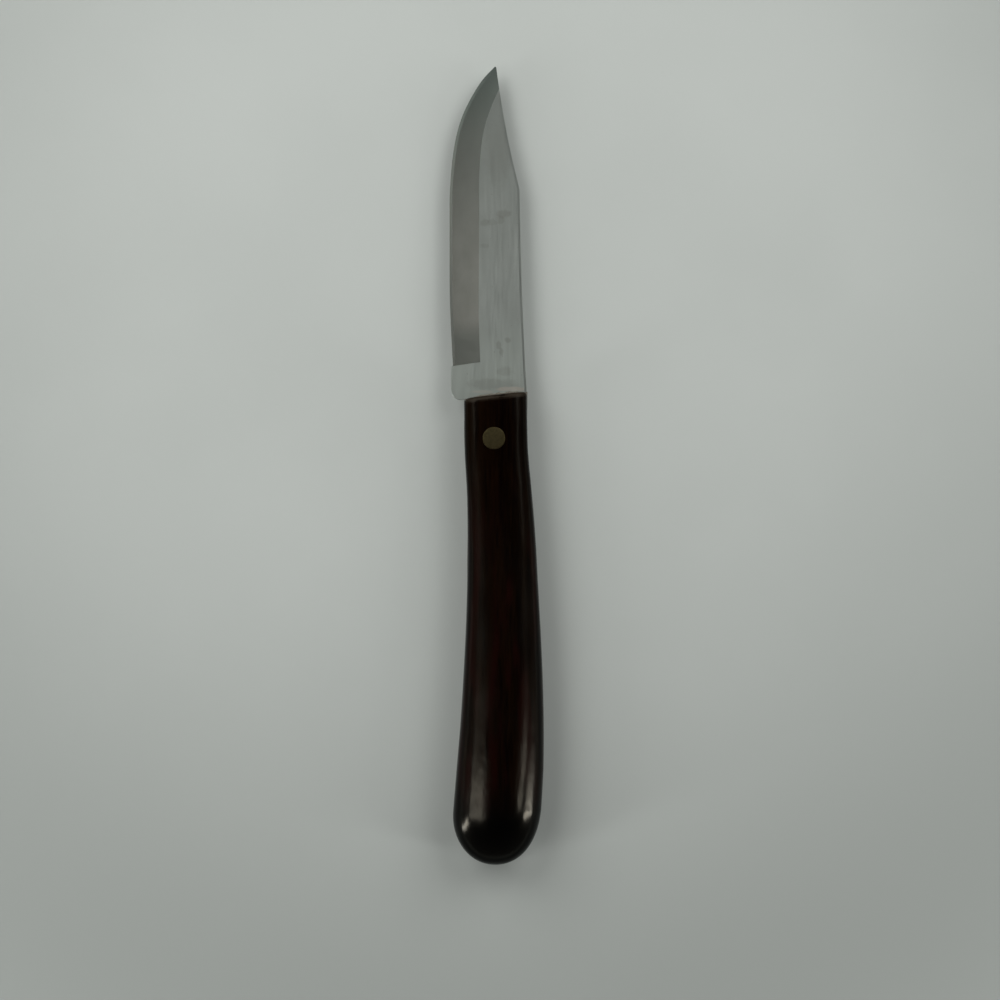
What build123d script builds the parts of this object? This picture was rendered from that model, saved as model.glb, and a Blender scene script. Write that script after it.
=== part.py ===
"""A paring knife lying on its side, as it lies on a kitchen table.

A stamped, hollow-ground clip-point blade runs back into a short tang. The tang is bedded in
cement in a slot sawn into a one-piece rosewood handle, and one two-part brass rivet pins it.

Sizes are in millimetres. The knife is drawn in its own frame first: the blade's middle plane is
XY, the tip points along +Y, the cutting edge faces -X, and zero is the middle of the handle's
front end. The last section lays the knife down on the surface that it rests on.
"""

import os
from math import atan2, cos, degrees, radians, sin, tan

from build123d import *

# Blade, measured from the handle's front end and from the handle's middle line. Its length is
# taken to the point where edge and clip would meet, before the tip is rounded.
blade_length = 73.9
blade_thickness = 1.4
edge_drop = 10.25
tip_rise = 0.05
tip_round = 0.45
clip_start = 46.3
clip_rise = 5.4
clip_hollow = 0.48
clip_blend = 5.0
spine_hollow = 0.25
spine_break = 0.12

# Heel, which is left unsharpened and as thick as the blade
heel_length = 7.2
heel_drop = 9.9
heel_corner = 2.1
heel_step = 0.4

# Hollow grind and honed edge
grind_width = 6.6
wheel_radius = 70.0
honed_width = 0.6
honed_thickness = 0.36
edge_thickness = 0.06

# Tang, which keeps the full thickness of the stock
tang_length = 42.0
tang_thickness = 1.5

# Handle
handle_length = 104.4
front_width = 14.0
front_thickness = 10.4
butt_width = 19.6
butt_thickness = 14.8
handle_sweep = 1.76
dome_length = 12.4
front_slant = 6.4
front_break = 0.3

# Slot for the tang, and the cement that fills it
cement_film = 0.1
cement_tail = 0.8
saw_radius = 60.0

# Rivet
rivet_from_front = 9.7
rivet_below_middle = 0.3
rivet_head_diameter = 5.0
rivet_head_thickness = 1.2
rivet_tube_diameter = 3.2
rivet_pin_diameter = 2.0
rivet_clearance = 0.03
rivet_end_gap = 0.4

# One overrun for every cut, and how far a cut across the handle reaches on each side
overrun = 3.0
cut_reach = butt_width / 2 + handle_sweep + overrun

# The cutting edge: shares of the way from heel to tip where its straight stretch starts and ends,
# then points of the belly as shares of that way and of the edge's drop. Whetting has worn the
# stretch before the straight one a little hollow. The headings are in degrees from +Y.
straight_shares = (0.29, 0.53)
belly_shares = [(0.68, 0.943), (0.787, 0.816), (0.849, 0.672), (0.909, 0.467), (0.948, 0.3)]
edge_start_heading = -3.0
edge_end_heading = 45.0

# The grind's width along the edge: shares of the edge's length, and of the grind's full width
grind_shares = [
    (0.0, 0.93),
    (0.1, 0.95),
    (0.25, 0.99),
    (0.4, 1.0),
    (0.52, 1.0),
    (0.62, 0.96),
    (0.71, 0.91),
    (0.79, 0.85),
    (0.86, 0.78),
    (0.93, 0.68),
    (1.0, 0.58),
]

# The handle's sections from front to butt. A row has shares of the handle's length, of its
# sideways sweep and of its growth in width and in thickness, and then how square the section is.
handle_shares = [
    (-0.03, 0.0, 0.0, 0.0, 4.2),
    (0.05, 0.04, 0.01, 0.0, 4.2),
    (0.12, 0.13, 0.03, 0.02, 4.0),
    (0.2, 0.48, 0.08, 0.06, 3.7),
    (0.3, 0.78, 0.20, 0.15, 3.4),
    (0.4, 0.92, 0.32, 0.28, 3.1),
    (0.5, 1.0, 0.48, 0.44, 2.9),
    (0.6, 0.98, 0.66, 0.62, 2.7),
    (0.7, 0.86, 0.82, 0.80, 2.55),
    (0.8, 0.58, 0.96, 0.95, 2.4),
]
butt_share = 0.25
butt_squareness = 2.3
dome_roundness = 2.1
dome_angles = [0, 16, 32, 47, 60, 71, 80, 87]
section_points = 32


def front_height(across):
    """How far ahead of zero the slanted front end lies, at a distance from the middle line."""
    return across * tan(radians(front_slant))


def handle_sections():
    """Each handle section: distance behind the front, centre, half width, half thickness, squareness."""
    sections = []
    for along, sweep, widening, thickening, squareness in handle_shares:
        half_width = (front_width + widening * (butt_width - front_width)) / 2
        half_thickness = (front_thickness + thickening * (butt_thickness - front_thickness)) / 2
        sections.append((along * handle_length, sweep * handle_sweep, half_width, half_thickness, squareness))
    for angle in dome_angles:
        along = sin(radians(angle))
        size = (1 - along**dome_roundness) ** (1 / dome_roundness)
        distance = handle_length - dome_length + along * dome_length
        centre = butt_share * handle_sweep * (1 - along) ** 3
        sections.append((distance, centre, size * butt_width / 2, size * butt_thickness / 2, butt_squareness))
    return sections


def oblong_points(centre, half_width, half_thickness, squareness):
    """Points round a section that is an oval where squareness is 2 and more oblong above it."""
    points = []
    for step in range(section_points):
        angle = radians(360 * step / section_points)
        reach = (abs(cos(angle)) ** squareness + abs(sin(angle)) ** squareness) ** (-1 / squareness)
        points.append((centre + half_width * cos(angle) * reach, half_thickness * sin(angle) * reach))
    return points


# The outside that the handle and the tang share, cut off square to the blade at its front
with BuildPart() as handle_blank:
    for distance, centre, half_width, half_thickness, squareness in handle_sections():
        with BuildSketch(Plane.XZ.offset(distance)):
            with BuildLine():
                Spline(*oblong_points(centre, half_width, half_thickness, squareness), periodic=True)
            make_face()
    loft()
    split(bisect_by=Plane.XZ.rotated((0, 0, front_slant)), keep=Keep.TOP)

# The rivet's hole right through, with a seat for a head at each end
rivet_plane = Plane(origin=(-rivet_below_middle, -rivet_from_front, 0))
head_seat = front_thickness / 2 - rivet_head_thickness

with BuildPart() as rivet_bore:
    with BuildSketch(rivet_plane.offset(head_seat)):
        Circle(rivet_head_diameter / 2 + rivet_clearance)
    extrude(amount=rivet_head_thickness + overrun)
    mirror(about=Plane.XY)
    with BuildSketch(rivet_plane):
        Circle(rivet_tube_diameter / 2 + rivet_clearance)
    extrude(amount=front_thickness / 2, both=True)

# The cutting edge, from the heel to the tip
edge_length = blade_length - heel_length


def edge_point(along, drop):
    """A point of the cutting edge from its two shares."""
    return (-drop * edge_drop, heel_length + along * edge_length)


def heading_vector(heading):
    """A direction in the blade's plane, in degrees from +Y towards the spine."""
    return (sin(radians(heading)), cos(radians(heading)))


with BuildLine() as cutting_edge:
    heel_end = (heel_step - heel_drop, heel_length)
    straight_start, straight_end = [edge_point(along, 1) for along in straight_shares]
    Spline(heel_end, straight_start, tangents=[heading_vector(edge_start_heading), (0, 1)])
    Line(straight_start, straight_end)
    Spline(
        straight_end,
        *[edge_point(along, drop) for along, drop in belly_shares],
        (tip_rise, blade_length),
        tangents=[(0, 1), heading_vector(edge_end_heading)],
    )
edge_wire = cutting_edge.wire()

# The wheel's cut on both flats, which leaves the hollow grind and the honed edge
with BuildPart() as grinding:
    stations = [(edge_wire @ along, edge_wire % along, width) for along, width in grind_shares]
    last_point, last_heading, last_width = stations[-1]
    stations.append((last_point + last_heading * overrun, last_heading, last_width))
    for point, heading, width in stations:
        with BuildSketch(Plane(origin=point, x_dir=(heading.Y, -heading.X, 0), z_dir=-heading)):
            with BuildLine():
                honed_line = Polyline(
                    (-overrun, edge_thickness / 2),
                    (0, edge_thickness / 2),
                    (honed_width, honed_thickness / 2),
                )
                grind_line = (width * grind_width, blade_thickness / 2)
                RadiusArc(honed_line @ 1, grind_line, wheel_radius)
                Polyline(
                    grind_line,
                    (width * grind_width, overrun),
                    (-overrun, overrun),
                    (-overrun, edge_thickness / 2),
                )
            make_face()
    loft()
    mirror(about=Plane.XY)

# The tang, as wide as the handle and ground flush with it
with BuildPart() as tang:
    with BuildSketch(Plane.XY.offset(-tang_thickness / 2)):
        with BuildLine():
            Polyline(
                (-cut_reach, -front_height(cut_reach)),
                (cut_reach, front_height(cut_reach)),
                (cut_reach, -tang_length),
                (-cut_reach, -tang_length),
                close=True,
            )
        make_face()
    extrude(amount=tang_thickness)
    add(handle_blank.part, mode=Mode.INTERSECT)

# The blade, one piece of steel with its tang
with BuildPart() as blade:
    spine_start = (front_width / 2, front_height(front_width / 2))
    shoulder = (clip_rise, clip_start)
    heel_back = (-heel_drop, -front_height(heel_drop))
    with BuildSketch(Plane.XY.offset(-blade_thickness / 2)) as outline:
        with BuildLine():
            add(cutting_edge.line)
            SagittaArc((tip_rise, blade_length), shoulder, -clip_hollow)
            SagittaArc(shoulder, spine_start, -spine_hollow)
            Polyline(spine_start, heel_back, (-heel_drop, heel_length), heel_end)
        make_face()
        fillet(outline.vertices().sort_by_distance((tip_rise, blade_length))[0], tip_round)
        fillet(outline.vertices().sort_by_distance(shoulder)[0], clip_blend)
        fillet(outline.vertices().sort_by_distance(heel_back)[0], heel_corner)
    extrude(amount=blade_thickness)
    for flat in (blade.faces().sort_by(Axis.Z)[0], blade.faces().sort_by(Axis.Z)[-1]):
        chamfer([edge for edge in flat.edges() if edge.center().X > tip_rise + tip_round], spine_break)
    add(grinding.part, mode=Mode.SUBTRACT)
    add(tang.part)
    add(rivet_bore.part, mode=Mode.SUBTRACT)

# The slot, whose end has the saw's curve
with BuildPart() as slot:
    slot_end = -tang_length - cement_tail
    arc_rise = saw_radius - (saw_radius**2 - cut_reach**2) ** 0.5
    with BuildSketch(Plane.XY.offset(-tang_thickness / 2 - cement_film)):
        with BuildLine():
            sides = Polyline(
                (-cut_reach, slot_end + arc_rise),
                (-cut_reach, overrun),
                (cut_reach, overrun),
                (cut_reach, slot_end + arc_rise),
            )
            ThreePointArc(sides @ 1, (0, slot_end), sides @ 0)
        make_face()
    extrude(amount=tang_thickness + 2 * cement_film)

# The handle, one piece of wood
with BuildPart() as handle:
    add(handle_blank.part)
    front_edges = handle.faces().sort_by_distance(Vertex(0, 0, 0))[0].edges()
    chamfer(front_edges, front_break)
    add(slot.part, mode=Mode.SUBTRACT)
    add(rivet_bore.part, mode=Mode.SUBTRACT)

# The cement on both sides of the tang and behind it
with BuildPart() as tang_cement:
    add(handle_blank.part)
    add(slot.part, mode=Mode.INTERSECT)
    add(blade.part, mode=Mode.SUBTRACT)
    add(rivet_bore.part, mode=Mode.SUBTRACT)


# The rivet's two halves, whose heads are ground off flush with the wood
with BuildPart() as rivet_socket:
    with BuildSketch(rivet_plane.offset(head_seat)):
        Circle(rivet_head_diameter / 2)
    extrude(amount=rivet_head_thickness + overrun)
    add(handle_blank.part, mode=Mode.INTERSECT)
    with BuildSketch(rivet_plane.offset(rivet_end_gap - head_seat)):
        Circle(rivet_tube_diameter / 2)
        Circle(rivet_pin_diameter / 2 + rivet_clearance, mode=Mode.SUBTRACT)
    extrude(amount=2 * head_seat - rivet_end_gap)

with BuildPart() as rivet_post:
    with BuildSketch(rivet_plane.offset(-head_seat)):
        Circle(rivet_head_diameter / 2)
    extrude(amount=-rivet_head_thickness - overrun)
    add(handle_blank.part, mode=Mode.INTERSECT)
    with BuildSketch(rivet_plane.offset(-head_seat)):
        Circle(rivet_pin_diameter / 2)
    extrude(amount=2 * head_seat - rivet_end_gap)


# Lay the knife on its side: the front end of the handle and its butt both touch the ground
lean = max(
    atan2(half_thickness - front_thickness / 2, distance)
    for distance, centre, half_width, half_thickness, squareness in handle_sections()
    if distance > dome_length
)
pieces = {
    "blade": blade.part,
    "handle": handle.part,
    "tang_cement": tang_cement.part,
    "rivet_socket": rivet_socket.part,
    "rivet_post": rivet_post.part,
}
for piece in pieces.values():
    piece.move(Rotation(-degrees(lean), 0, 0))
box = Compound(list(pieces.values())).bounding_box()
os.makedirs("parts", exist_ok=True)
for name, piece in pieces.items():
    piece.move(Pos(-box.center().X, -box.center().Y, -box.min.Z))
    piece.label = name
    export_step(piece, "parts/" + name + ".step")
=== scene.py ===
"""A paring knife on a pale table, seen from straight above.

The blade, its tang, the wooden handle and the brass rivet are modelled here in full detail and stand
for the plain solids of the frame. The cement in the slot is the frame's own solid with a material of
its own, and a bead of cement is added where it has been squeezed out.

Shapes are worked out in the knife's own frame, in millimetres: the blade's middle plane is XY, the
tip points along +Y, the cutting edge faces -X, and zero is the middle of the handle's front end.
The matrix called place then turns and moves them to where the frame's knife lies, in metres.
"""

from math import atan2, cos, pi, radians, sin, tan

import bmesh
import bpy
import numpy as np
from mathutils import Color, Matrix, Vector, noise


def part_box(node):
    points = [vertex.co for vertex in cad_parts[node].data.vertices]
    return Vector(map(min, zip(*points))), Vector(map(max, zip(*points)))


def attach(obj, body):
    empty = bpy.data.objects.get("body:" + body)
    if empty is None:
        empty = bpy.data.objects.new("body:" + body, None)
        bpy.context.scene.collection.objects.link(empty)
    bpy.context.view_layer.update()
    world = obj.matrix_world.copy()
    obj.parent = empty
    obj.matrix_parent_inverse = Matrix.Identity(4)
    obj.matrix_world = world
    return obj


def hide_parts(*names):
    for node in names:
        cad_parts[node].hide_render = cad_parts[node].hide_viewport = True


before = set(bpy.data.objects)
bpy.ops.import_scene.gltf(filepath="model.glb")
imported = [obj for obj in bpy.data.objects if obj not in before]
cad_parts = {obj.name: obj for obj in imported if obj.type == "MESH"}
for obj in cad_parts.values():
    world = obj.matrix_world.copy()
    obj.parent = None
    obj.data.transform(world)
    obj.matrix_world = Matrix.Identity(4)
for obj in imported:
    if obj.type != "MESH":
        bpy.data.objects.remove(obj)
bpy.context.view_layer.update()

MM = 0.001

# Blade
blade_length = 74.3
blade_thickness = 1.4
edge_drop = 10.25
tip_rise = 0.15
tip_round = 0.2
clip_start = 46.3
clip_rise = 5.4
clip_hollow = 0.48
clip_blend = 5.0
spine_hollow = 0.25
spine_break = 0.05
polish_width = 0.5
polish_drop = 0.004
break_fade = 3.0

# How far ahead of the handle the frame's own blade reaches
solid_tip = 73.45

# Heel
heel_length = 6.85
heel_drop = 9.9
heel_corner = 2.1
heel_step = 0.4
heel_break = 0.05
heel_covered = 1.0

# Hollow grind and honed edge
grind_width = 6.6
grind_slant = 6.5
grind_slant_length = 5.0
wall_run = 0.25
wheel_radius = 150.0
honed_width = 0.6
honed_thickness = 0.36
edge_thickness = 0.06

# Tang
tang_length = 42.0
tang_thickness = 1.5
tang_set_back = 0.02

# Handle
handle_length = 104.4
front_width = 14.0
front_thickness = 10.4
butt_width = 19.6
butt_thickness = 14.8
handle_sweep = 1.76
dome_length = 12.4
front_slant = 6.4
front_fade = 30.0
front_round = 0.8
hand_finish = 0.03
hand_finish_size = 11.0
finish_stretch = 0.4

# Slot and rivet
cement_film = 0.1
cement_tail = 0.8
saw_radius = 60.0
rivet_from_front = 9.7
rivet_below_middle = 0.3
rivet_head_diameter = 5.0
rivet_head_thickness = 1.2
rivet_clearance = 0.03
rivet_tube_diameter = 3.2
rivet_pin_diameter = 2.0
rivet_end_gap = 0.4
head_crown = 0.05
rim_round = 0.12
overrun = 3.0

# Squeezed-out cement: for each side of the blade, where its bead starts and ends
bead_spans = [(1, -5.9, 6.7), (-1, -5.4, 3.1)]
bead_width = 0.6
bead_depth = 0.2

# How far the bead's width varies, as a share of it, and how many lumps it has in a millimetre
bead_unevenness = 0.35
bead_lumps = 0.8

# How finely the meshes are divided
weld = 0.002
ring_columns = 128
row_step = 0.5
round_rows = 7
dome_rows = 32
crown_rows = 8
rivet_columns = 96
slot_points = 41
run_points = 60
corner_points = 14
tang_points = 90
edge_rows = 240
grind_columns = 9
back_points = 240
bead_rows = 90

# The blade's finishes, in the order of its material slots
FLAT, POLISHED, SPINE, GROUND, HONED = range(5)

# How sharp a bend must be to show as a crease, in degrees
wood_crease = 35.0
steel_crease = 1.2

# The view, in millimetres of the shared frame, the sensor, also in millimetres, and the camera, in metres
view_centre = (0.755, -7.83)
view_width = 223.3
view_plane = 6.0
camera_height = 0.5
sensor_width = 36.0
clip_near = 0.01

# The table's half side in metres
table_half = 3.0

# Soft lights, all facing one point of the knife: name, the middles of two opposite sides, the
# length of those sides, all in metres, and brightness
lit_point = (0.0, -0.04, 0.0)
lights = [
    ("left_window", (-0.185, 0.47, 0.42), (-0.45, 0.16, 0.42), 0.41, 3.6),
    ("right_window", (0.17, 0.47, 0.42), (0.45, 0.17, 0.42), 0.41, 3.2),
    ("left_box", (-0.16, -0.125, 0.45), (-0.6, -0.125, 0.45), 0.08, 4.4),
    ("left_strip", (-0.62, -0.22, 0.38), (-0.8, -0.4, 0.06), 0.1, 15.0),
    ("right_box", (0.28, -0.112, 0.45), (0.45, -0.13, 0.45), 0.05, 5.5),
    ("right_strip", (0.66, -0.26, 0.45), (1.5, -0.4, 0.22), 0.09, 18.0),
]

# The pale far distance, as seen or mirrored: its colour, where the table turns into it in metres
# from the table's middle, and up to which height in the sky it reaches
distance_tone = (168, 173, 168)
distance_span = (0.13, 0.3)
distance_height = (0.05, 0.14)

# How bright the room is by height, from the horizon to straight overhead
sky_levels = [(0.0, 0.4), (0.06, 0.14), (0.4, 0.075), (0.7, 0.04), (0.88, 0.02), (1.0, 0.012)]

# Marks on the blade: centre and size in millimetres, and strength
stains = [
    ((0.4, 54.0), (2.6, 7.0), 0.1),
    ((1.9, 40.8), (1.5, 0.9), 0.26),
    ((1.2, 39.4), (0.9, 0.8), 0.2),
    ((-0.6, 39.0), (0.9, 0.7), 0.16),
    ((-2.4, 38.8), (0.9, 0.8), 0.24),
    ((-2.3, 33.6), (1.1, 0.5), 0.16),
    ((2.8, 12.5), (0.7, 0.6), 0.24),
    ((0.7, 11.3), (0.5, 1.0), 0.2),
    ((1.3, 9.9), (0.5, 0.9), 0.22),
    ((2.0, 5.6), (1.8, 1.0), 0.16),
    ((-0.7, 2.6), (5.2, 1.2), 0.2),
]
# Pale patches on the flat just ahead of the handle: centre and size in millimetres, and strength
pale_patches = [((3.6, 1.5), (3.4, 0.5), 0.55), ((-3.0, 0.9), (2.6, 0.35), 0.3)]

# How soft a mark's edge is, and how far its edge wanders, as shares of its size
mark_softness = 0.35
mark_wander = 1.3


def tone(*levels):
    """A colour as the shader takes it, from three levels of 0 to 255 as they are seen."""
    seen = Color([level / 255 for level in levels])
    return (*seen.from_srgb_to_scene_linear(), 1.0)


# The part of its range that most of a noise lies in
noise_span = (0.3, 0.7)

# Wood: its colours
wood_dark = tone(2, 0, 0)
wood_light = tone(14, 5, 1)
wood_red = tone(19, 3, 2)
wood_pore = tone(1, 0, 0)
# Painted shade: the near black that the butt's end turns to
wood_butt_shade = tone(1, 1, 1)
# Worn wood and a painted highlight: the rounded front edge, lighter where it catches light
wood_wear_and_highlight = tone(42, 35, 28)
wood_cut = tone(38, 27, 17)
wood_cut_dark = tone(22, 14, 8)

# Wood: textures, with the size of their lumps in millimetres
wood_streaks = {"size": (0.3, 14.0, 0.3), "detail": 6.0, "roughness": 0.6}
wood_figure = {"size": (2.4, 50.0, 2.4), "distortion": 0.6}
wood_pores = {"size": (0.1, 1.7, 0.1), "detail": 1.0}
wood_red_areas = {"size": (3.0, 22.0, 3.0), "detail": 2.0}
wood_handling = {"size": (7.0, 12.0, 7.0), "detail": 4.0, "roughness": 0.6}
wood_scuffs = {"size": (2.2, 1.2, 2.2), "detail": 4.0, "roughness": 0.6}
wood_sanding = {"size": (2.0, 5.5, 2.0), "detail": 2.0}

# Wood: the part of each texture's range that counts
wood_grain_span = (0.75, 1.3)
wood_pore_span = (0.62, 0.7)
wood_red_span = (0.46, 0.68)
wood_scuff_span = (0.2, 0.6)

# Wood: from where to where it is painted dark as shade at the butt, is worn and painted lighter as a
# highlight at the front, and is gripped, in millimetres ahead of the handle, and how squarely a face
# looks forward to count as cut
wood_butt_shade_span = (-84.0, -95.0)
wood_front_span = (-1.4, -0.2)
wood_grip_span = (-45.0, -4.0)
wood_cut_facing = (0.8, 0.97)

# Wood: its shine, which is less at the rim and where it is gripped, and its roughness
wood_shine = 0.25
wood_shine_tint = (1.0, 0.92, 0.74, 1.0)
wood_rim_shine = 0.04
wood_rim = (0.15, 0.45)
wood_grip_shine = 0.55
wood_roughness = (0.16, 0.21)
wood_worn_roughness = 0.5
wood_grip_roughness = 0.02
wood_pore_depth = 0.0012
wood_sanding_depth = 0.07

# Steel: its colours
flat_light = tone(190, 196, 189)
flat_dark = tone(180, 186, 179)
flat_near = tone(200, 208, 199)
# Painted shade: the flat's darker tone at the tip
flat_tip_shade = tone(143, 148, 142)
spine_tone = tone(168, 173, 167)
ground_light = tone(146, 147, 139)
ground_dark = tone(137, 138, 130)
ground_near = tone(119, 122, 115)
# Painted shade: the grind's darker tone at the tip
ground_tip_shade = tone(64, 70, 66)
honed_tone = tone(112, 114, 107)
honed_near = tone(86, 88, 83)
stain_tone = tone(110, 106, 92)
pale_patch_tone = tone(232, 222, 208)

# Steel: from where to where its colour changes, in millimetres ahead of the handle
flat_near_span = (22.0, 3.0)
ground_near_span = (17.0, 12.0)
honed_near_span = (60.0, 20.0)
# Where the painted shade towards the tip starts and ends
tip_shade_span = (15.0, 78.0)

# Steel: textures, the part of their range that counts, and how strong they are
steel_lines = {"size": (0.07, 9.0, 0.5), "detail": 4.0, "roughness": 0.65}
steel_clouds = {"size": (5.0, 9.0, 5.0), "detail": 4.0, "roughness": 0.6}
steel_specks = {"size": (0.5, 0.5, 0.5), "detail": 2.0}
mark_lumps = {"size": (1.1, 1.1, 1.1), "detail": 4.0, "roughness": 0.6}
steel_line_span = (0.25, 0.75)
steel_cloud_span = (0.3, 0.72)
speck_span = (0.7, 0.78)
speck_strength = 0.35
roughness_spread = 0.05

# Steel: each finish's light and dark colours, the one near the handle and the one at the tip, which is
# painted shade, where the near one starts and ends, the roughness, and the lines' direction in degrees
# and their depth
flat_finish = {
    "tones": (flat_light, flat_dark, flat_near, flat_tip_shade),
    "near_span": flat_near_span,
    "roughness": 0.36,
    "angle": 0.0,
    "line_depth": 0.0015,
    "stained": True,
}
polished_finish = {
    "tones": (spine_tone, spine_tone, spine_tone, flat_tip_shade),
    "near_span": flat_near_span,
    "roughness": 0.34,
    "angle": 0.0,
    "line_depth": 0.001,
}
spine_finish = {**polished_finish, "roughness": 0.4}
ground_finish = {
    "tones": (ground_light, ground_dark, ground_near, ground_tip_shade),
    "near_span": ground_near_span,
    "roughness": 0.36,
    "angle": 90.0,
    "line_depth": 0.0025,
}
honed_finish = {
    "tones": (honed_tone, honed_tone, honed_near, ground_tip_shade),
    "near_span": honed_near_span,
    "roughness": 0.45,
    "angle": 90.0,
    "line_depth": 0.003,
}

# Steel: the materials, in the order of the blade's material slots
steel_finishes = {
    "steel_flat": flat_finish,
    "steel_polished": polished_finish,
    "steel_spine": spine_finish,
    "steel_ground": ground_finish,
    "steel_honed": honed_finish,
}

# Brass
brass_light = tone(78, 71, 48)
brass_dark = tone(56, 50, 32)
brass_clouds = {"size": (0.9, 0.9, 0.9), "detail": 5.0, "roughness": 0.65}
brass_lines = {"size": (0.08, 3.0, 0.4), "roughness": 0.6, "angle": 35.0}
brass_line_depth = 0.004
brass_roughness = (0.5, 0.38)

# Cement
cement_light = tone(118, 114, 102)
cement_dark = tone(84, 80, 70)
cement_grains = {"size": (0.18, 0.18, 0.18), "detail": 4.0, "roughness": 0.6}
cement_roughness = (0.55, 0.75)
cement_depth = 0.02

# Table: its colours, painted darker as shade with the distance from a point in metres, and its textures
table_light = tone(188, 193, 188)
table_dark = tone(184, 189, 184)
table_far_shade = tone(158, 163, 158)
table_middle = (0.0, 0.04, 0.0)
table_shade_span = (0.06, 0.19)
table_clouds = {"size": (60.0, 60.0, 60.0)}
table_grain = {"size": (0.7, 0.7, 0.7), "detail": 2.0}
table_roughness = (0.55, 0.65)
table_depth = 0.01

# The edge's points and its headings in degrees at both ends, the grind's width and the handle's
# sections, all as the solids have them
straight_shares = (0.29, 0.53)
belly_shares = [(0.68, 0.943), (0.787, 0.816), (0.849, 0.672), (0.909, 0.467), (0.948, 0.3)]
edge_start_heading = -3.0
edge_end_heading = 45.0
grind_shares = [
    (0.0, 0.93),
    (0.1, 0.95),
    (0.25, 0.99),
    (0.4, 1.0),
    (0.52, 1.0),
    (0.62, 0.96),
    (0.71, 0.91),
    (0.79, 0.85),
    (0.86, 0.78),
    (0.93, 0.68),
    (1.0, 0.58),
]
handle_shares = [
    (-0.03, 0.0, 0.0, 0.0, 4.2),
    (0.05, 0.04, 0.01, 0.0, 4.2),
    (0.12, 0.13, 0.03, 0.02, 4.0),
    (0.2, 0.48, 0.08, 0.06, 3.7),
    (0.3, 0.78, 0.20, 0.15, 3.4),
    (0.4, 0.92, 0.32, 0.28, 3.1),
    (0.5, 1.0, 0.48, 0.44, 2.9),
    (0.6, 0.98, 0.66, 0.62, 2.7),
    (0.7, 0.86, 0.82, 0.80, 2.55),
    (0.8, 0.58, 0.96, 0.95, 2.4),
]
butt_share = 0.25
butt_squareness = 2.3
dome_roundness = 2.1


# Curves

def smooth_through(stations, values, places):
    """Values at the places, on a smooth curve through the values at the stations."""
    stations, values, places = np.array(stations), np.array(values), np.array(places)
    slopes = np.gradient(values, stations)
    before = np.clip(np.searchsorted(stations, places) - 1, 0, len(stations) - 2)
    span = stations[before + 1] - stations[before]
    t = (places - stations[before]) / span
    start, end = values[before], values[before + 1]
    start_slope, end_slope = slopes[before] * span, slopes[before + 1] * span
    return (
        (2 * t**3 - 3 * t**2 + 1) * start
        + (t**3 - 2 * t**2 + t) * start_slope
        + (3 * t**2 - 2 * t**3) * end
        + (t**3 - t**2) * end_slope
    )


def spline_through(points, start_heading, end_heading, count):
    """Points along a cubic spline through the given ones, with headings in degrees from +Y."""
    points = np.array(points, float)
    steps = np.linalg.norm(np.diff(points, axis=0), axis=1)
    knots = np.concatenate(([0], np.cumsum(steps)))
    size = len(points)
    matrix = np.zeros((size, size))
    right = np.zeros((size, 2))
    matrix[0, 0] = matrix[-1, -1] = 1
    right[0] = (sin(radians(start_heading)), cos(radians(start_heading)))
    right[-1] = (sin(radians(end_heading)), cos(radians(end_heading)))
    for i in range(1, size - 1):
        matrix[i, i - 1] = 1 / steps[i - 1]
        matrix[i, i] = 2 / steps[i - 1] + 2 / steps[i]
        matrix[i, i + 1] = 1 / steps[i]
        rise = (points[i] - points[i - 1]) / steps[i - 1] ** 2
        right[i] = 3 * (rise + (points[i + 1] - points[i]) / steps[i] ** 2)
    tangents = np.linalg.solve(matrix, right)
    places = np.linspace(0, knots[-1], count)
    before = np.clip(np.searchsorted(knots, places) - 1, 0, size - 2)
    span = steps[before][:, None]
    t = ((places - knots[before]) / steps[before])[:, None]
    return (
        (2 * t**3 - 3 * t**2 + 1) * points[before]
        + (t**3 - 2 * t**2 + t) * tangents[before] * span
        + (3 * t**2 - 2 * t**3) * points[before + 1]
        + (t**3 - t**2) * tangents[before + 1] * span
    )


def sagged_line(start, end, sag, count):
    """Points of a shallow arc between two points, bowed to the right of the way by sag."""
    start, end = np.array(start, float), np.array(end, float)
    t = np.linspace(0, 1, count)[:, None]
    across = np.array((end[1] - start[1], start[0] - end[0])) / np.linalg.norm(end - start)
    return start + (end - start) * t + across * sag * 4 * t * (1 - t)


def rounded_corner(before, after, radius):
    """Cuts the corner where two runs of points meet, and gives both runs and the arc between them."""
    corner = before[-1]
    inward = (before[-2] - corner) / np.linalg.norm(before[-2] - corner)
    outward = (after[1] - corner) / np.linalg.norm(after[1] - corner)
    half = np.arccos(np.clip(inward @ outward, -1, 1)) / 2
    reach = radius / tan(half)
    kept_before = before[np.linalg.norm(before - corner, axis=1) > reach]
    kept_after = after[np.linalg.norm(after - corner, axis=1) > reach]
    start, end = corner + inward * reach, corner + outward * reach
    bisector = (inward + outward) / np.linalg.norm(inward + outward)
    centre = corner + bisector * radius / sin(half)
    first, last = start - centre, end - centre
    turn = np.arctan2(first[0] * last[1] - first[1] * last[0], first @ last)
    square = np.array((-first[1], first[0]))
    angles = np.linspace(0, turn, corner_points)[:, None]
    return kept_before, centre + np.cos(angles) * first + np.sin(angles) * square, kept_after


def resample(points, count):
    """The same run of points at even steps."""
    along = np.concatenate(([0], np.cumsum(np.linalg.norm(np.diff(points, axis=0), axis=1))))
    places = np.linspace(0, along[-1], count)
    return np.stack([np.interp(places, along, points[:, axis]) for axis in (0, 1)], axis=1)


def right_normals(points):
    """The direction to the right of the way at each point of a run."""
    headings = np.gradient(points, axis=0)
    headings /= np.linalg.norm(headings, axis=1)[:, None]
    return np.stack((headings[:, 1], -headings[:, 0]), axis=1)


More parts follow.
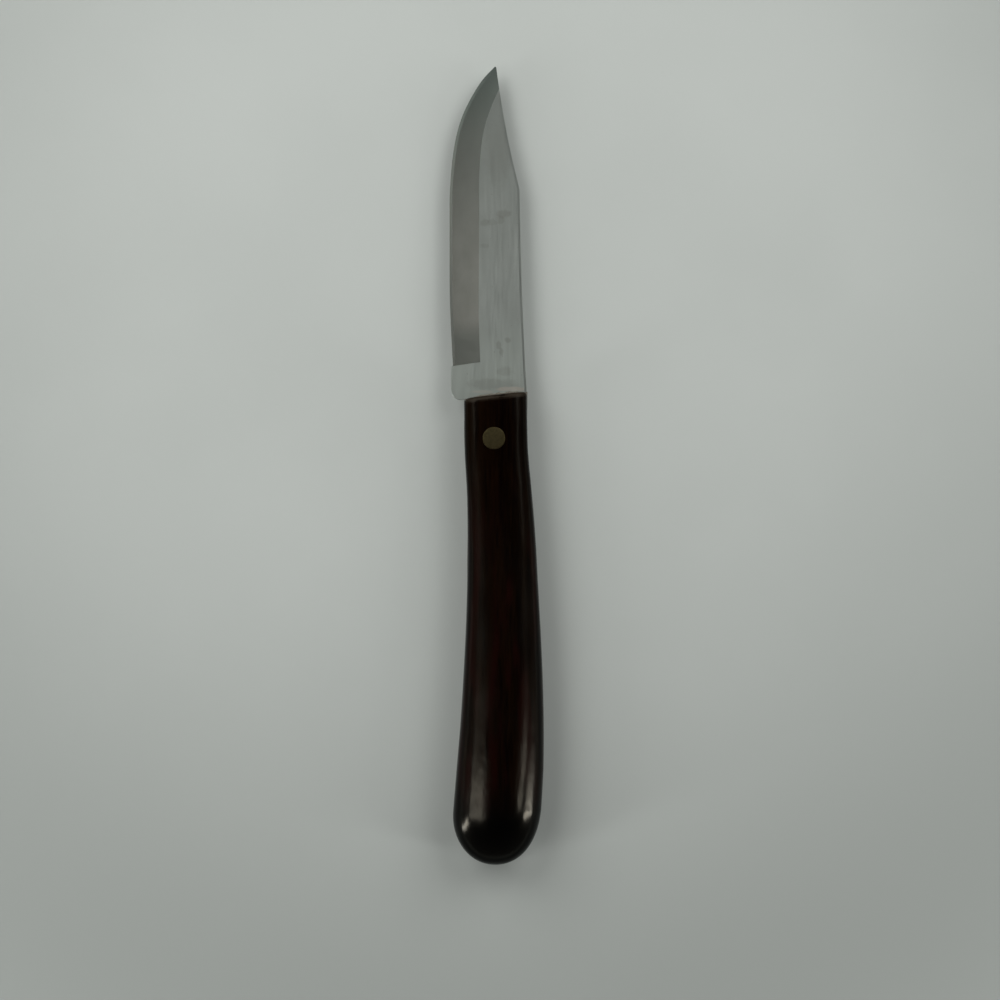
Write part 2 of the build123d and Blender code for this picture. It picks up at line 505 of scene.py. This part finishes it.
def front_height(across):
    """How far ahead of zero the slanted front end lies, at a distance from the middle line."""
    return across * tan(radians(front_slant))


def fade(value):
    """A smooth step down from 1 to 0 as the value goes from 0 to 1."""
    t = np.clip(value, 0, 1)
    return 1 - t * t * (3 - 2 * t)


# The handle's shape

def handle_stations():
    """Sections as the solids have them: distance behind the front, centre, half sizes, squareness."""
    rows = []
    for along, sweep, widening, thickening, squareness in handle_shares:
        half_width = (front_width + widening * (butt_width - front_width)) / 2
        half_thickness = (front_thickness + thickening * (butt_thickness - front_thickness)) / 2
        rows.append((along * handle_length, sweep * handle_sweep, half_width, half_thickness, squareness))
    start = handle_length - dome_length
    rows.append((start, butt_share * handle_sweep, butt_width / 2, butt_thickness / 2, butt_squareness))
    return np.array(rows)


def handle_section(distances):
    """Centre, half width, half thickness and squareness at distances behind the front."""
    stations = handle_stations()
    return [smooth_through(stations[:, 0], stations[:, column], distances) for column in range(1, 5)]


def dome_section(along):
    """The same for the butt's dome, along it from 0 to 1, after the distance."""
    size = (1 - along**dome_roundness) ** (1 / dome_roundness)
    return (
        handle_length - dome_length + along * dome_length,
        butt_share * handle_sweep * (1 - along) ** 3,
        size * butt_width / 2,
        size * butt_thickness / 2,
        butt_squareness,
    )


# Where the knife lies

def resting_lean():
    """The angle at which the handle's front end and its butt both touch the table."""
    rows = [row for row in handle_stations() if row[0] > dome_length]
    return max(atan2(row[3] - front_thickness / 2, row[0]) for row in rows)


def knife_place():
    """The matrix from the knife's own frame, in millimetres, to the shared frame, in metres."""
    turn = Matrix.Rotation(-resting_lean(), 4, "X") @ Matrix.Scale(MM, 4)
    blade_low, blade_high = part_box("blade")
    tip = turn @ Vector((0, solid_tip, 0))
    lowest = turn @ Vector((0, 0, -front_thickness / 2))
    shift = Vector((blade_low.x + edge_drop * MM, blade_high.y - tip.y, -lowest.z))
    return Matrix.Translation(shift) @ turn


place = knife_place()


class Shell:
    """A closed surface gathered row by row from points of the knife's own frame."""

    def __init__(self):
        self.mesh = bmesh.new()

    def row(self, points):
        return [self.mesh.verts.new(place @ Vector(point)) for point in points]

    def face(self, corners, slot=0):
        self.mesh.faces.new(corners).material_index = slot

    def strip(self, first, second, slot=0, closed=False):
        count = len(first)
        for i in range(count if closed else count - 1):
            k = (i + 1) % count
            self.face((first[i], first[k], second[k], second[i]), slot)

    def fan(self, row, tip, slot=0):
        for i, corner in enumerate(row):
            self.face((corner, row[(i + 1) % len(row)], tip), slot)

    def piece(self, name):
        """The finished object, with doubled points welded and every face turned outwards."""
        bmesh.ops.remove_doubles(self.mesh, verts=self.mesh.verts, dist=weld * MM)
        bmesh.ops.recalc_face_normals(self.mesh, faces=self.mesh.faces)
        data = bpy.data.meshes.new(name)
        self.mesh.to_mesh(data)
        self.mesh.free()
        made = bpy.data.objects.new(name, data)
        bpy.context.collection.objects.link(made)
        return made


def cut_away(piece, cutters):
    """Cuts the cutters out of a piece, and deletes them."""
    for cutter in cutters:
        cut = piece.modifiers.new("cut", "BOOLEAN")
        cut.operation = "DIFFERENCE"
        cut.solver = "EXACT"
        cut.object = cutter
    depsgraph = bpy.context.evaluated_depsgraph_get()
    data = bpy.data.meshes.new_from_object(piece.evaluated_get(depsgraph))
    piece.modifiers.clear()
    piece.data = data
    for cutter in cutters:
        bpy.data.objects.remove(cutter)


def dress(piece, node, materials, crease):
    """Materials, smooth shading with creases, and the node of the frame that the piece stands for."""
    for material in materials:
        piece.data.materials.append(material)
    piece.data.shade_smooth()
    piece.data.set_sharp_from_angle(angle=radians(crease))
    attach(piece, "root")
    if node:
        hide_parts(node)


# The handle's mesh

def ring(section):
    """Points round a section in its own plane, from angle zero."""
    centre, half_width, half_thickness, squareness = section
    angles = np.linspace(0, 2 * pi, ring_columns, endpoint=False)
    across, up = np.cos(angles), np.sin(angles)
    reach = (np.abs(across) ** squareness + np.abs(up) ** squareness) ** (-1 / squareness)
    return centre + half_width * across * reach, half_thickness * up * reach


def handle_row(distance, inset=0.0):
    """A row of the handle, tilted with the front end near it and square to the handle further back."""
    tilt = fade(distance / front_fade)
    x, z = ring(handle_section(distance))
    behind = distance - front_height(x) * tilt
    centre, half_width, half_thickness, squareness = handle_section(behind)
    x, z = ring((centre, half_width - inset, half_thickness - inset, squareness))
    return np.stack((x, front_height(x) * tilt - distance, z), axis=1)


def hand_finished(points):
    """The same points with the slight unevenness of a surface that was sanded by hand."""
    moved = []
    for x, y, z in points:
        lump = noise.noise(Vector((x, y * finish_stretch, z)) / hand_finish_size)
        share = min(1, max(0, -y / front_fade))
        out = Vector((x, 0, z)).normalized() * lump * hand_finish * share
        moved.append((x + out.x, y, z + out.z))
    return moved


def handle_body():
    """The handle's outside, from its rounded front edge to the pole of its butt."""
    shell = Shell()
    rows = []
    for turn in np.linspace(pi / 2, 0, round_rows):
        rows.append(handle_row(front_round * (1 - sin(turn)), front_round * (1 - cos(turn))))
    dome_start = handle_length - dome_length
    for distance in np.arange(front_round + row_step, dome_start, row_step):
        rows.append(handle_row(distance))
    for turn in np.linspace(0, pi / 2, dome_rows)[:-1]:
        distance, *section = dome_section(sin(turn))
        x, z = ring(section)
        rows.append(np.stack((x, np.full(len(x), -distance), z), axis=1))
    rows = [shell.row(hand_finished(row)) for row in rows]
    shell.face(rows[0])
    for first, second in zip(rows, rows[1:]):
        shell.strip(first, second, closed=True)
    shell.fan(rows[-1], shell.row([(0, -handle_length, 0)])[0])
    return shell.piece("handle_wood")


def plate(name, outline, half_thickness):
    """A flat plate from its outline, on both sides of the blade's middle plane."""
    shell = Shell()
    top = shell.row([(x, y, half_thickness) for x, y in outline])
    bottom = shell.row([(x, y, -half_thickness) for x, y in outline])
    shell.face(top)
    shell.face(bottom)
    shell.strip(top, bottom, closed=True)
    return shell.piece(name)


def slot_cutter():
    """What the saw takes out: open at the front, with the saw's curve at its end."""
    reach = butt_width / 2 + handle_sweep + overrun
    across = np.linspace(-reach, reach, slot_points)
    end = -tang_length - cement_tail + saw_radius - np.sqrt(saw_radius**2 - across**2)
    outline = [(reach, overrun), (-reach, overrun), *zip(across, end)]
    return plate("slot", outline, tang_thickness / 2 + cement_film)


def revolve(name, profile):
    """A round piece about the rivet's axis, from (radius, height) pairs."""
    shell = Shell()
    angles = np.linspace(0, 2 * pi, rivet_columns, endpoint=False)
    rows = []
    for radius, height in profile:
        circle = [(radius * cos(angle), radius * sin(angle)) for angle in angles] if radius else [(0, 0)]
        circle = [(x - rivet_below_middle, y - rivet_from_front, height) for x, y in circle]
        rows.append(shell.row(circle))
    for first, second in zip(rows, rows[1:]):
        if len(first) == 1:
            shell.fan(second, first[0])
        elif len(second) == 1:
            shell.fan(first, second[0])
        else:
            shell.strip(first, second, closed=True)
    return shell.piece(name)


head_seat = front_thickness / 2 - rivet_head_thickness
wood_top = float(handle_section(rivet_from_front)[2])


def bore_cutter():
    """The rivet's hole with a seat at each end."""
    tube = rivet_tube_diameter / 2 + rivet_clearance
    seat = rivet_head_diameter / 2 + rivet_clearance
    top = front_thickness / 2 + overrun
    profile = [(0, top), (seat, top), (seat, head_seat), (tube, head_seat)]
    return revolve("bore", profile + [(radius, -height) for radius, height in reversed(profile)])


def head_profile():
    """A rivet head from the middle of its face to its seat: a low crown with a worn rim."""
    radius = rivet_head_diameter / 2
    profile = []
    for share in np.linspace(0, 1, crown_rows):
        along = (radius - rim_round) * share
        profile.append((along, wood_top + head_crown * (1 - share**2)))
    for turn in np.linspace(0, pi / 2, round_rows)[1:]:
        profile.append((radius - rim_round * (1 - sin(turn)), wood_top - rim_round * (1 - cos(turn))))
    profile.append((radius, head_seat))
    return profile


def rivet_socket_piece():
    """The half with the tube, whose head shows on the side that faces up."""
    tube = rivet_tube_diameter / 2
    bore = rivet_pin_diameter / 2 + rivet_clearance
    end = rivet_end_gap - head_seat
    tail = [(tube, head_seat), (tube, end), (bore, end), (bore, head_seat), (0, head_seat)]
    return revolve("rivet_upper", head_profile() + tail)


def rivet_post_piece():
    """The half with the pin, whose head shows on the side that faces down."""
    pin = rivet_pin_diameter / 2
    end = rivet_end_gap - head_seat
    tail = [(pin, head_seat), (pin, end), (0, end)]
    return revolve("rivet_lower", [(radius, -height) for radius, height in head_profile() + tail])


def tang_piece():
    """The tang, almost flush with the wood on both sides of the slot."""
    sides = []
    for side in (-1, 1):
        distances = np.linspace(-front_height(side * front_width / 2), tang_length, tang_points)
        centre, half_width = handle_section(distances)[:2]
        sides.append(list(zip(centre + side * (half_width - tang_set_back), -distances)))
    return plate("tang_steel", sides[0] + sides[1][::-1], tang_thickness / 2)


# The blade's mesh

def blade_corners():
    """The outline's corner points."""
    return {
        "tip": (tip_rise, blade_length),
        "shoulder": (clip_rise, clip_start),
        "spine": (front_width / 2, front_height(front_width / 2)),
        "heel_back": (-heel_drop, -front_height(heel_drop)),
        "heel_front": (-heel_drop, heel_length - wall_run),
        "edge_start": (heel_step - heel_drop, heel_length),
    }


def edge_run():
    """The cutting edge from the heel to the sharp tip."""
    corners = blade_corners()
    length = blade_length - heel_length
    straight = [(-edge_drop, heel_length + share * length) for share in straight_shares]
    belly = [(-drop * edge_drop, heel_length + share * length) for share, drop in belly_shares]
    first = spline_through([corners["edge_start"], straight[0]], edge_start_heading, 0, run_points)
    last = spline_through([straight[1], *belly, corners["tip"]], 0, edge_end_heading, 3 * run_points)
    return np.concatenate((first, last))


def back_run():
    """The back of the blade from the sharp tip over the clip and the spine to the handle."""
    corners = blade_corners()
    clip = sagged_line(corners["tip"], corners["shoulder"], clip_hollow, run_points)
    spine = sagged_line(corners["shoulder"], corners["spine"], spine_hollow, run_points)
    return np.concatenate(rounded_corner(clip, spine, clip_blend))


def ground_thickness(distance, width):
    """Half the blade's thickness at a distance from the cutting edge, where the grind has a width."""
    honed = edge_thickness / 2 + (honed_thickness - edge_thickness) / 2 * distance / honed_width
    across = (distance - honed_width) / (width - honed_width)
    chord = honed_thickness / 2 + (blade_thickness - honed_thickness) / 2 * across
    hollow = (distance - honed_width) * (width - distance) / (2 * wheel_radius)
    ground = np.minimum(chord - hollow, blade_thickness / 2)
    return np.where(distance < honed_width, honed, ground)


def distance_to(run, points):
    """How far points are from a run."""
    starts, steps = run[:-1], np.diff(run, axis=0)
    offsets = points[:, None, :] - starts
    share = np.clip((offsets * steps).sum(2) / (steps * steps).sum(1), 0, 1)
    return np.linalg.norm(offsets - share[:, :, None] * steps, axis=2).min(axis=1)


def grind_grid():
    """The ground surface as rows from the cutting edge inwards, the first row that meets the back, and
    the back from there to the handle."""
    edge, back = edge_run(), back_run()
    edge, arc, back = rounded_corner(edge, back, tip_round)
    edge = resample(np.concatenate((edge, arc[: len(arc) // 2 + 1])), edge_rows)
    back = np.concatenate((arc[len(arc) // 2 :], back))
    along = np.linspace(0, 1, edge_rows)
    widths = grind_width * smooth_through(*zip(*grind_shares), along)
    normals = right_normals(edge)
    square = np.arctan2(normals[:, 1], normals[:, 0])
    near_heel = fade((edge[:, 1] - heel_length) / grind_slant_length)
    headings = square + (radians(grind_slant) - square) * near_heel
    reach = widths / np.cos(headings - square)
    inner = edge + reach[:, None] * np.stack((np.cos(headings), np.sin(headings)), axis=1)
    back_x = np.interp(inner[:, 1], back[::-1, 1], back[::-1, 0])
    meeting = int(np.argmax(inner[:, 0] > back_x))
    crossing = inner[meeting][1]
    beyond = np.array([point for point in back if point[1] > crossing])[::-1]
    behind = np.array([point for point in back if point[1] <= crossing])
    inner[meeting:] = resample(beyond, edge_rows - meeting)
    rows = []
    for i in range(edge_rows):
        total = np.linalg.norm(inner[i] - edge[i])
        honed_share = min(honed_width / max(total, honed_width), 1)
        shares = np.concatenate(([0], np.linspace(honed_share, 1, grind_columns)))
        rows.append(edge[i] + shares[:, None] * (inner[i] - edge[i]))
    heights = [ground_thickness(distance_to(edge, row), width) for row, width in zip(rows, widths)]
    for i in range(meeting + 1):
        heights[i][-1] = blade_thickness / 2
    grid = [np.column_stack((row, height)) for row, height in zip(rows, heights)]
    return grid, meeting, np.concatenate((inner[meeting : meeting + 1], behind))


def inset(run, widths):
    """A run moved inwards, to the right of the way, by a width at each point."""
    return run + right_normals(run) * np.asarray(widths)[..., None]


def heel_run():
    """The heel from the handle's front end, round its corner, to the foot of the grind's end wall."""
    corners = blade_corners()
    covered = heel_covered - front_width / 2
    front = np.array([(covered, front_height(covered)), corners["heel_back"]])
    side = np.array([corners["heel_back"], corners["heel_front"]])
    front, arc, side = rounded_corner(front, side, heel_corner)
    ledge = np.array([(heel_step - heel_drop, heel_length - wall_run)])
    return np.concatenate((front, arc, side, ledge))


def blade_side(shell, sign, grid, meeting, back):
    """One side of the blade. Gives its cutting edge, its other outer runs and its front end's corners."""
    half = blade_thickness / 2
    heel = heel_run()
    taper = 1 - fade(np.linalg.norm(back - back[0], axis=1) / break_fade)

    def raised(run, heights):
        heights = np.broadcast_to(heights, len(run))
        return shell.row([(x, y, sign * z) for (x, y), z in zip(run, heights)])

    rows = [shell.row([(x, y, sign * z) for x, y, z in row]) for row in grid]
    for first, second in zip(rows, rows[1:]):
        shell.strip(first[:2], second[:2], HONED)
        shell.strip(first[1:], second[1:], GROUND)
    polish_line = raised(inset(back, polish_width * taper), half)
    break_line = raised(inset(back, spine_break * taper), half - polish_drop * taper)
    spine_line = raised(back, half - (spine_break + polish_drop) * taper)
    shell.strip(polish_line, break_line, POLISHED)
    shell.strip(break_line, spine_line, SPINE)
    heel_inner = raised(inset(heel, heel_break), half)
    heel_outer = raised(heel, half - heel_break)
    shell.strip(heel_inner, heel_outer, SPINE)
    depth = (half - grid[0][:, 2]) / half
    wall_line = raised(grid[0][:, :2] - np.outer(depth, (0, wall_run)), half)
    shell.strip(wall_line, rows[0], GROUND)
    shell.face((wall_line[0], rows[0][0], heel_outer[-1]), SPINE)
    shell.face((wall_line[0], heel_outer[-1], heel_inner[-1]), SPINE)
    grind_line = [row[-1] for row in rows[:meeting]]
    shell.face(grind_line + polish_line + heel_inner + wall_line[:-1], FLAT)
    cutting_edge = [row[0] for row in rows]
    tip_line = [row[-1] for row in rows[meeting:]]
    front_end = [polish_line[-1], break_line[-1], spine_line[-1], heel_outer[0], heel_inner[0]]
    return cutting_edge, (heel_outer, spine_line, tip_line), front_end


def blade_piece():
    """The blade in front of the handle."""
    grid, meeting, back = grind_grid()
    back = resample(back, back_points)
    shell = Shell()
    sides = [blade_side(shell, sign, grid, meeting, back) for sign in (1, -1)]
    edges, walls, fronts = zip(*sides)
    shell.strip(*edges, HONED)
    for top, bottom in zip(*walls):
        shell.strip(top, bottom, SPINE)
    shell.face((edges[0][0], edges[1][0], walls[1][0][-1], walls[0][0][-1]), SPINE)
    upper, lower = fronts
    shell.face(upper[:3] + lower[2::-1] + lower[4:2:-1] + upper[3:], SPINE)
    return shell.piece("blade_steel")


def bead_piece():
    """Cement that was squeezed out of the slot and hardened in the corner in front of the handle."""
    shell = Shell()
    for sign, start, end in bead_spans:
        rows = []
        across = np.linspace(start, end, bead_rows)
        for i, x in enumerate(across):
            share = i / (bead_rows - 1)
            lump = noise.noise(Vector((x * bead_lumps, sign * bead_lumps, 0)))
            width = bead_width * (1 + bead_unevenness * lump) * (1 - (2 * share - 1) ** 4) + weld
            y = front_height(x) - bead_depth
            z = blade_thickness / 2
            arc = []
            for turn in np.linspace(0, pi / 2, round_rows):
                arc.append((x, y + bead_depth + width * cos(turn), sign * (z + width * sin(turn))))
            arc.append((x, y, sign * (z + width)))
            arc.append((x, y, sign * (z - bead_depth)))
            arc.append((x, y + bead_depth + width, sign * (z - bead_depth)))
            rows.append(shell.row(arc))
        for first, second in zip(rows, rows[1:]):
            shell.strip(first, second, closed=True)
        shell.face(rows[0])
        shell.face(rows[-1])
    return shell.piece("cement_bead")


# Materials

class Nodes:
    """Short calls for the nodes of a material or of the world."""

    def __init__(self, tree):
        self.tree = tree

    def join(self, socket, value):
        if isinstance(value, bpy.types.NodeSocket):
            self.tree.links.new(value, socket)
        else:
            socket.default_value = value

    def node(self, kind, inputs, **settings):
        made = self.tree.nodes.new("ShaderNode" + kind)
        for name, value in settings.items():
            setattr(made, name, value)
        for name, value in inputs.items():
            self.join(made.inputs[name], value)
        return made.outputs[0]

    def spread(self, value, low, high, start=0.0, end=1.0):
        """A value between low and high stretched smoothly over start to end."""
        sockets = {"Value": value, "From Min": low, "From Max": high, "To Min": start, "To Max": end}
        return self.node("MapRange", sockets, interpolation_type="SMOOTHSTEP")

    def mix(self, share, first, second):
        """The first colour where the share is 0 and the second where it is 1."""
        return self.node("MixRGB", {"Fac": share, "Color1": first, "Color2": second})

    def math(self, operation, first, second):
        return self.node("Math", {0: first, 1: second}, operation=operation)

    def seen(self):
        """1 for what is seen, directly, mirrored or through glass, and 0 for what lights the object."""
        rays = self.node("LightPath", {}).node.outputs
        mirrored = self.math("MAXIMUM", rays["Is Glossy Ray"], rays["Is Transmission Ray"])
        return self.math("MAXIMUM", rays["Is Camera Ray"], mirrored)


class Paint(Nodes):
    """A material on the principled shader, with textures sized in millimetres."""

    def __init__(self, name, **sockets):
        self.material = bpy.data.materials.new(name)
        self.material.use_nodes = True
        super().__init__(self.material.node_tree)
        self.shader = self.tree.nodes["Principled BSDF"]
        for socket, value in sockets.items():
            self.put(socket.replace("_", " "), value)
        self.coordinates = self.node("TexCoord", {}).node.outputs["Object"]

    def put(self, socket, value):
        """Sets one of the shader's sockets."""
        self.join(self.shader.inputs[socket], value)

    def noise(self, size, detail=3.0, roughness=0.5, distortion=0.0, angle=0.0):
        """Noise from 0 to 1 whose lumps have these three sizes in millimetres, turned by an angle."""
        scale = [1 / (extent * MM) for extent in size]
        turned = self.node("Mapping", {"Vector": self.coordinates, "Rotation": (0, 0, radians(angle))})
        placed = self.node("Mapping", {"Vector": turned, "Scale": scale})
        sockets = {"Detail": detail, "Roughness": roughness, "Distortion": distortion}
        return self.node("TexNoise", {"Vector": placed, "Scale": 1.0, **sockets})

    def along(self, start, end, slant=0.0):
        """0 at one distance ahead of the handle, in millimetres, and 1 at another, on slanted lines."""
        parts = self.node("SeparateXYZ", {"Vector": self.coordinates}).node.outputs
        slope = tan(radians(slant))
        ahead = self.math("SUBTRACT", parts["Y"], self.math("MULTIPLY", parts["X"], slope))
        shift = place.translation.y - place.translation.x * slope
        return self.spread(ahead, shift + start * MM, shift + end * MM)

    def patch(self, centre, size):
        """1 inside a patch with a ragged edge about a point of the knife's own frame, and 0 outside."""
        middle = place @ Vector((*centre, 0))
        scale = [1 / (extent * MM) for extent in size] + [0]
        shift = [-middle.x * scale[0], -middle.y * scale[1], 0]
        placed = self.node("Mapping", {"Vector": self.coordinates, "Scale": scale, "Location": shift})
        reach = self.node("VectorMath", {0: placed}, operation="LENGTH").node.outputs["Value"]
        lump = self.math("MULTIPLY", self.noise(**mark_lumps), mark_wander)
        edge = 1 + mark_wander / 2
        return self.spread(self.math("ADD", reach, lump), edge + mark_softness, edge - mark_softness)

    def bump(self, height, depth, below=None):
        """A bump of a depth in millimetres, on top of another."""
        sockets = {"Height": height, "Distance": depth * MM}
        if below:
            sockets["Normal"] = below
        return self.node("Bump", sockets)


def rosewood():
    """Dark oiled wood with streaks and open pores, duller where it is held, worn and painted lighter as a
    highlight at its front edge, and painted dark as shade at its butt.
    """
    paint = Paint("rosewood", Specular_IOR_Level=wood_shine, Specular_Tint=wood_shine_tint)
    streaks = paint.noise(**wood_streaks)
    figure = paint.noise(**wood_figure)
    pores = paint.spread(paint.noise(**wood_pores), *wood_pore_span)
    grain = paint.spread(paint.math("ADD", streaks, figure), *wood_grain_span)
    red = paint.spread(paint.noise(**wood_red_areas), *wood_red_span)
    scuffs = paint.spread(paint.noise(**wood_scuffs), *wood_scuff_span)
    # Worn and painted lighter as a highlight: a band along the rounded front edge
    wear_and_highlight = paint.math("MULTIPLY", paint.along(*wood_front_span, front_slant), scuffs)
    normal = paint.node("NewGeometry", {}).node.outputs["Normal"]
    ahead = paint.node("SeparateXYZ", {"Vector": normal}).node.outputs["Y"]
    gripped = paint.along(*wood_grip_span)
    red = paint.math("MULTIPLY", red, paint.spread(gripped, 0, 1, 1, 0))
    cut = paint.mix(grain, wood_cut_dark, wood_cut)
    colour = paint.mix(grain, wood_dark, wood_light)
    colour = paint.mix(red, colour, wood_red)
    colour = paint.mix(paint.spread(ahead, *wood_cut_facing), colour, cut)
    colour = paint.mix(pores, colour, wood_pore)
    # Painted shade: the butt darkens to near black
    colour = paint.mix(paint.along(*wood_butt_shade_span), colour, wood_butt_shade)
    colour = paint.mix(wear_and_highlight, colour, wood_wear_and_highlight)
    paint.put("Base Color", colour)
    handled = paint.spread(paint.noise(**wood_handling), *noise_span, *wood_roughness)
    rough = paint.math("ADD", handled, paint.math("MULTIPLY", gripped, wood_grip_roughness))
    paint.put("Roughness", paint.spread(wear_and_highlight, 0, 1, rough, wood_worn_roughness))
    facing = paint.node("LayerWeight", {}).node.outputs["Facing"]
    shine = paint.spread(facing, *wood_rim, wood_shine, wood_rim_shine)
    kept_shine = paint.spread(gripped, 0, 1, 1, wood_grip_shine)
    paint.put("Specular IOR Level", paint.math("MULTIPLY", shine, kept_shine))
    sanding = paint.bump(paint.noise(**wood_sanding), wood_sanding_depth)
    paint.put("Normal", paint.bump(paint.spread(pores, 0, 1, 1, 0), wood_pore_depth, sanding))
    return paint.material


def marked(paint, colour, marks, mark_tone):
    """A colour with marks of another tone on it."""
    for centre, size, strength in marks:
        colour = paint.mix(paint.math("MULTIPLY", paint.patch(centre, size), strength), colour, mark_tone)
    return colour


def steel(name, tones, near_span, roughness, angle, line_depth, stained=False):
    """Satin steel with fine lines one way, painted shade that grows towards the tip, marks of use and
    pale patches.
    """
    light, dark, near, tip = tones
    paint = Paint(name, Metallic=1.0)
    lines = paint.noise(**steel_lines, angle=angle)
    specks = paint.spread(paint.noise(**steel_specks), *speck_span)
    colour = paint.mix(paint.spread(paint.noise(**steel_clouds), *steel_cloud_span), dark, light)
    colour = paint.mix(paint.along(*near_span), colour, near)
    # Painted shade: the steel darkens towards the tip
    colour = paint.mix(paint.along(*tip_shade_span), colour, tip)
    if stained:
        colour = marked(paint, colour, stains, stain_tone)
        colour = marked(paint, colour, pale_patches, pale_patch_tone)
    colour = paint.mix(paint.math("MULTIPLY", specks, speck_strength), colour, stain_tone)
    paint.put("Base Color", colour)
    smooth, rough = roughness - roughness_spread, roughness + roughness_spread
    paint.put("Roughness", paint.spread(lines, *steel_line_span, smooth, rough))
    paint.put("Normal", paint.bump(lines, line_depth))
    return paint.material


def brass():
    """Dull brass, tarnished in clouds, with the lines of its last filing."""
    paint = Paint("tarnished_brass", Metallic=1.0)
    cloud = paint.noise(**brass_clouds)
    paint.put("Base Color", paint.mix(paint.spread(cloud, *noise_span), brass_dark, brass_light))
    paint.put("Roughness", paint.spread(cloud, *noise_span, *brass_roughness))
    paint.put("Normal", paint.bump(paint.noise(**brass_lines), brass_line_depth))
    return paint.material


def cement():
    """Hard grey-brown bedding, slightly grainy."""
    paint = Paint("cement")
    grains = paint.noise(**cement_grains)
    paint.put("Base Color", paint.mix(paint.spread(grains, *noise_span), cement_dark, cement_light))
    paint.put("Roughness", paint.spread(grains, *noise_span, *cement_roughness))
    paint.put("Normal", paint.bump(grains, cement_depth))
    return paint.material


def table_top():
    """A plain pale surface with the faintest mottling, painted darker as shade away from a point, which
    turns into the pale far distance.
    """
    paint = Paint("table_top")
    cloud = paint.noise(**table_clouds)
    colour = paint.mix(paint.spread(cloud, *noise_span), table_light, table_dark)
    reach = paint.node("VectorMath", {0: paint.coordinates, 1: table_middle}, operation="DISTANCE")
    reach = reach.node.outputs["Value"]
    # Painted shade: the table darkens with the distance from a point
    colour = paint.mix(paint.spread(reach, *table_shade_span), colour, table_far_shade)
    paint.put("Base Color", colour)
    paint.put("Roughness", paint.spread(cloud, *noise_span, *table_roughness))
    paint.put("Normal", paint.bump(paint.noise(**table_grain), table_depth))
    pale = paint.node("Emission", {"Color": tone(*distance_tone)})
    share = paint.math("MULTIPLY", paint.seen(), paint.spread(reach, *distance_span))
    mixed = paint.node("MixShader", {0: share, 1: paint.shader.outputs[0], 2: pale})
    paint.join(paint.tree.nodes["Material Output"].inputs["Surface"], mixed)
    return paint.material


# Pieces

handle = handle_body()
cut_away(handle, [slot_cutter(), bore_cutter()])
dress(handle, "handle", [rosewood()], wood_crease)

steels = [steel(name, **finish) for name, finish in steel_finishes.items()]
blade = blade_piece()
dress(blade, "blade", steels, steel_crease)

tang = tang_piece()
cut_away(tang, [bore_cutter()])
dress(tang, "blade", [steels[SPINE]], wood_crease)

rivet_brass = brass()
rivet_upper = rivet_socket_piece()
dress(rivet_upper, "rivet_socket", [rivet_brass], wood_crease)

rivet_lower = rivet_post_piece()
dress(rivet_lower, "rivet_post", [rivet_brass], wood_crease)

bedding = cement()
bead = bead_piece()
dress(bead, None, [bedding], wood_crease)
cad_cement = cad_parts["tang_cement"]
for slot_number in range(len(cad_cement.data.materials)):
    cad_cement.data.materials[slot_number] = bedding


# Floor, camera and light

def floor():
    """A square of table far larger than the view."""
    mesh = bmesh.new()
    corners = [(-1, -1), (1, -1), (1, 1), (-1, 1)]
    mesh.faces.new([mesh.verts.new((x * table_half, y * table_half, 0)) for x, y in corners])
    data = bpy.data.meshes.new("table")
    mesh.to_mesh(data)
    mesh.free()
    made = bpy.data.objects.new("table", data)
    made.data.materials.append(table_top())
    bpy.context.collection.objects.link(made)


def camera():
    """Straight above, with the blade's tip towards the top of the picture."""
    data = bpy.data.cameras.new("camera")
    data.sensor_width = sensor_width
    data.lens = sensor_width * camera_height / (view_width * MM)
    data.clip_start = clip_near
    made = bpy.data.objects.new("camera", data)
    made.location = (view_centre[0] * MM, view_centre[1] * MM, camera_height + view_plane * MM)
    bpy.context.collection.objects.link(made)
    bpy.context.scene.camera = made


def softbox(name, start, end, width, level):
    """A soft light that faces the knife, from the middle of one of its sides to the opposite one."""
    start, end = Vector(start), Vector(end)
    middle = (start + end) / 2
    length = (end - start).length
    data = bpy.data.lights.new(name, "AREA")
    data.shape = "RECTANGLE"
    data.size, data.size_y = length, width
    data.energy = level * pi * length * width
    across = (end - start) / length
    away = middle - Vector(lit_point)
    up = away.cross(across).normalized()
    made = bpy.data.objects.new(name, data)
    made.matrix_world = Matrix((across, up, across.cross(up))).transposed().to_4x4()
    made.location = middle
    bpy.context.scene.collection.objects.link(made)


def sky():
    """Dim all round, darkest straight overhead, with a pale far distance where it is seen or mirrored."""
    world = bpy.data.worlds.new("room")
    world.use_nodes = True
    bpy.context.scene.world = world
    nodes = Nodes(world.node_tree)
    direction = nodes.node("TexCoord", {}).node.outputs["Generated"]
    height = nodes.node("SeparateXYZ", {0: direction}).node.outputs["Z"]
    ramp = nodes.node("ValToRGB", {0: height})
    steps = ramp.node.color_ramp.elements
    ready = len(steps)
    for number, (reach_up, level) in enumerate(sky_levels):
        step = steps[number] if number < ready else steps.new(reach_up)
        step.position = reach_up
        step.color = (level, level, level, 1.0)
    low = nodes.math("SUBTRACT", 1.0, nodes.spread(height, *distance_height))
    colour = nodes.mix(nodes.math("MULTIPLY", nodes.seen(), low), ramp, tone(*distance_tone))
    nodes.join(nodes.tree.nodes["Background"].inputs["Color"], colour)


floor()
camera()
for light in lights:
    softbox(*light)
sky()
bpy.context.scene.view_settings.view_transform = "Standard"
